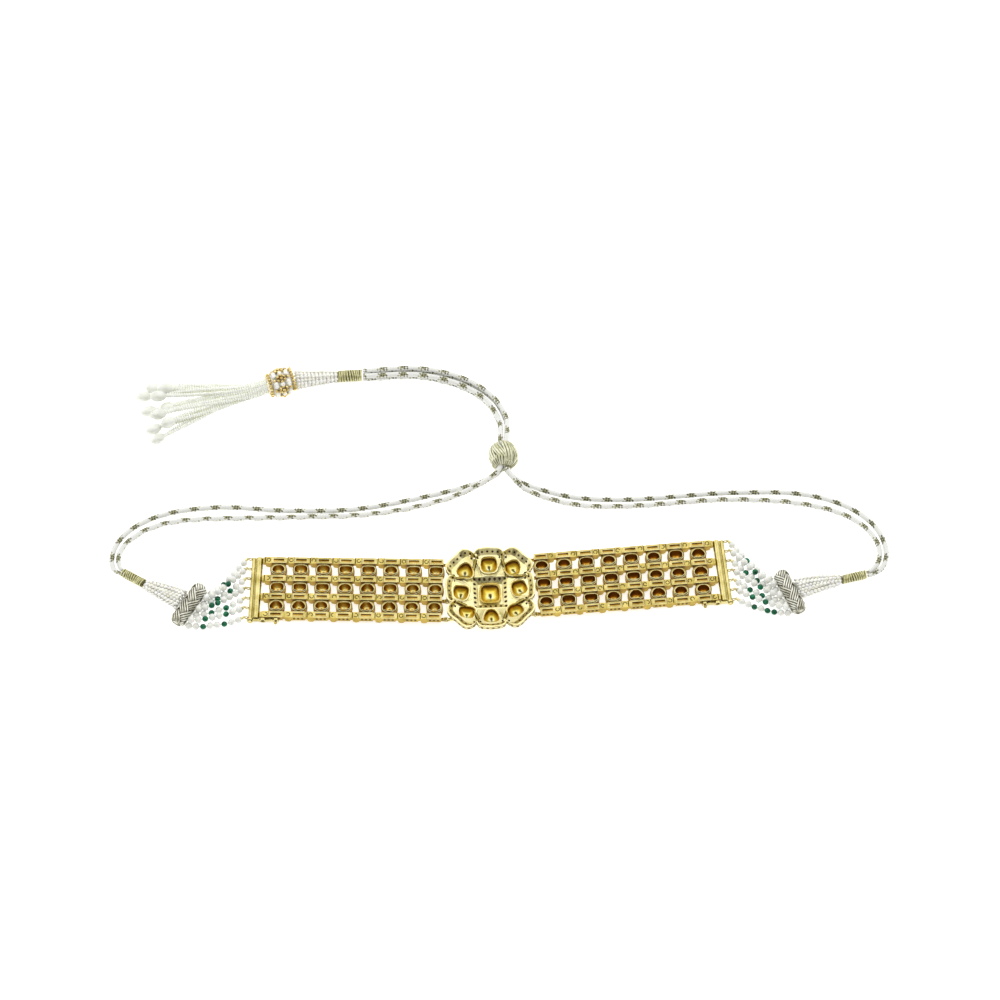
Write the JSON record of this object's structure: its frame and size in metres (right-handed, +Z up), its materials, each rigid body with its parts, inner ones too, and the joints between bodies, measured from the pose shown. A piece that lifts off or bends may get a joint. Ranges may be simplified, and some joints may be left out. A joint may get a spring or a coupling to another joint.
{
  "type": "convertible bracelet with drawstring cords and a tassel",
  "caption": "Hinged bracelet band with a flower medallion, pearl strands, braided drawstring cords, a sliding ball and a tassel, lying with its reverse side up.",
  "frame": {"origin": "centre of the table of the medallion's middle stone, which lies on the surface", "axes": "+X along the band to the picture's right, +Y from the band toward the cords and the tassel, +Z up from the surface, out of the reverse side"},
  "size_m": [0.2941, 0.1147, 0.0118],
  "materials": {
    "gold": "polished gold",
    "foiled_stone": "clear cut stone over gold foil",
    "pearl": "lustrous white",
    "emerald": "polished deep green",
    "thread": "white silk",
    "silver_wire": "braided silver-grey wire",
    "seed_pearl": "cream seed pearls",
    "olive_thread": "olive-gold metal thread",
    "braided_cord": "white braid with olive-gold flecks",
    "pale_thread": "pale silver-gold thread",
    "gold_bead": "small gold beads round seed pearls"
  },
  "bodies": {
    "bracelet": {"medallion": "gold", "medallion_stone_1": "foiled_stone", "medallion_stone_2": "foiled_stone", "medallion_stone_3": "foiled_stone", "medallion_stone_4": "foiled_stone", "medallion_stone_5": "foiled_stone", "medallion_stone_6": "foiled_stone", "medallion_stone_7": "foiled_stone", "medallion_stone_8": "foiled_stone", "medallion_stone_9": "foiled_stone", "left_rings": "gold", "right_rings": "gold", "left_link_1": "gold", "left_link_2": "gold", "left_link_3": "gold", "left_link_4": "gold", "left_link_5": "gold", "left_link_6": "gold", "left_link_7": "gold", "left_link_8": "gold", "right_link_1": "gold", "right_link_2": "gold", "right_link_3": "gold", "right_link_4": "gold", "right_link_5": "gold", "right_link_6": "gold", "right_link_7": "gold", "right_link_8": "gold", "left_stones": "foiled_stone", "right_stones": "foiled_stone", "left_clasp_tube": "gold", "right_clasp_tube": "gold", "left_clasp_bar": "gold", "right_clasp_bar": "gold", "left_pearls": "pearl", "right_pearls": "pearl", "left_emeralds": "emerald", "right_emeralds": "emerald", "left_threads": "thread", "right_threads": "thread", "left_toggle": "silver_wire", "right_toggle": "silver_wire", "left_taper": "seed_pearl", "right_taper": "seed_pearl", "left_whipping": "olive_thread", "right_whipping": "olive_thread", "left_cord_1": "braided_cord", "left_cord_2": "braided_cord", "right_cord_1": "braided_cord", "right_cord_2": "braided_cord", "slide_ball": "pale_thread", "tassel_whipping": "olive_thread", "tassel_taper": "seed_pearl", "tassel_cap": "gold_bead", "tassel": "seed_pearl"},
    "left_catch": {"left_catch": "gold"},
    "right_catch": {"right_catch": "gold"}
  },
  "joints": [
    {"name": "left_catch_hinge", "type": "hinge", "parent": "bracelet", "child": "left_catch", "pos_m": [-0.08997, -0.01089, 0.00182], "axis": [-0.0366, -0.9993, 0], "range_deg": [0, 110]},
    {"name": "right_catch_hinge", "type": "hinge", "parent": "bracelet", "child": "right_catch", "pos_m": [0.09021, -0.00331, 0.00182], "axis": [-0.1097, 0.994, 0], "range_deg": [0, 110]}
  ]
}
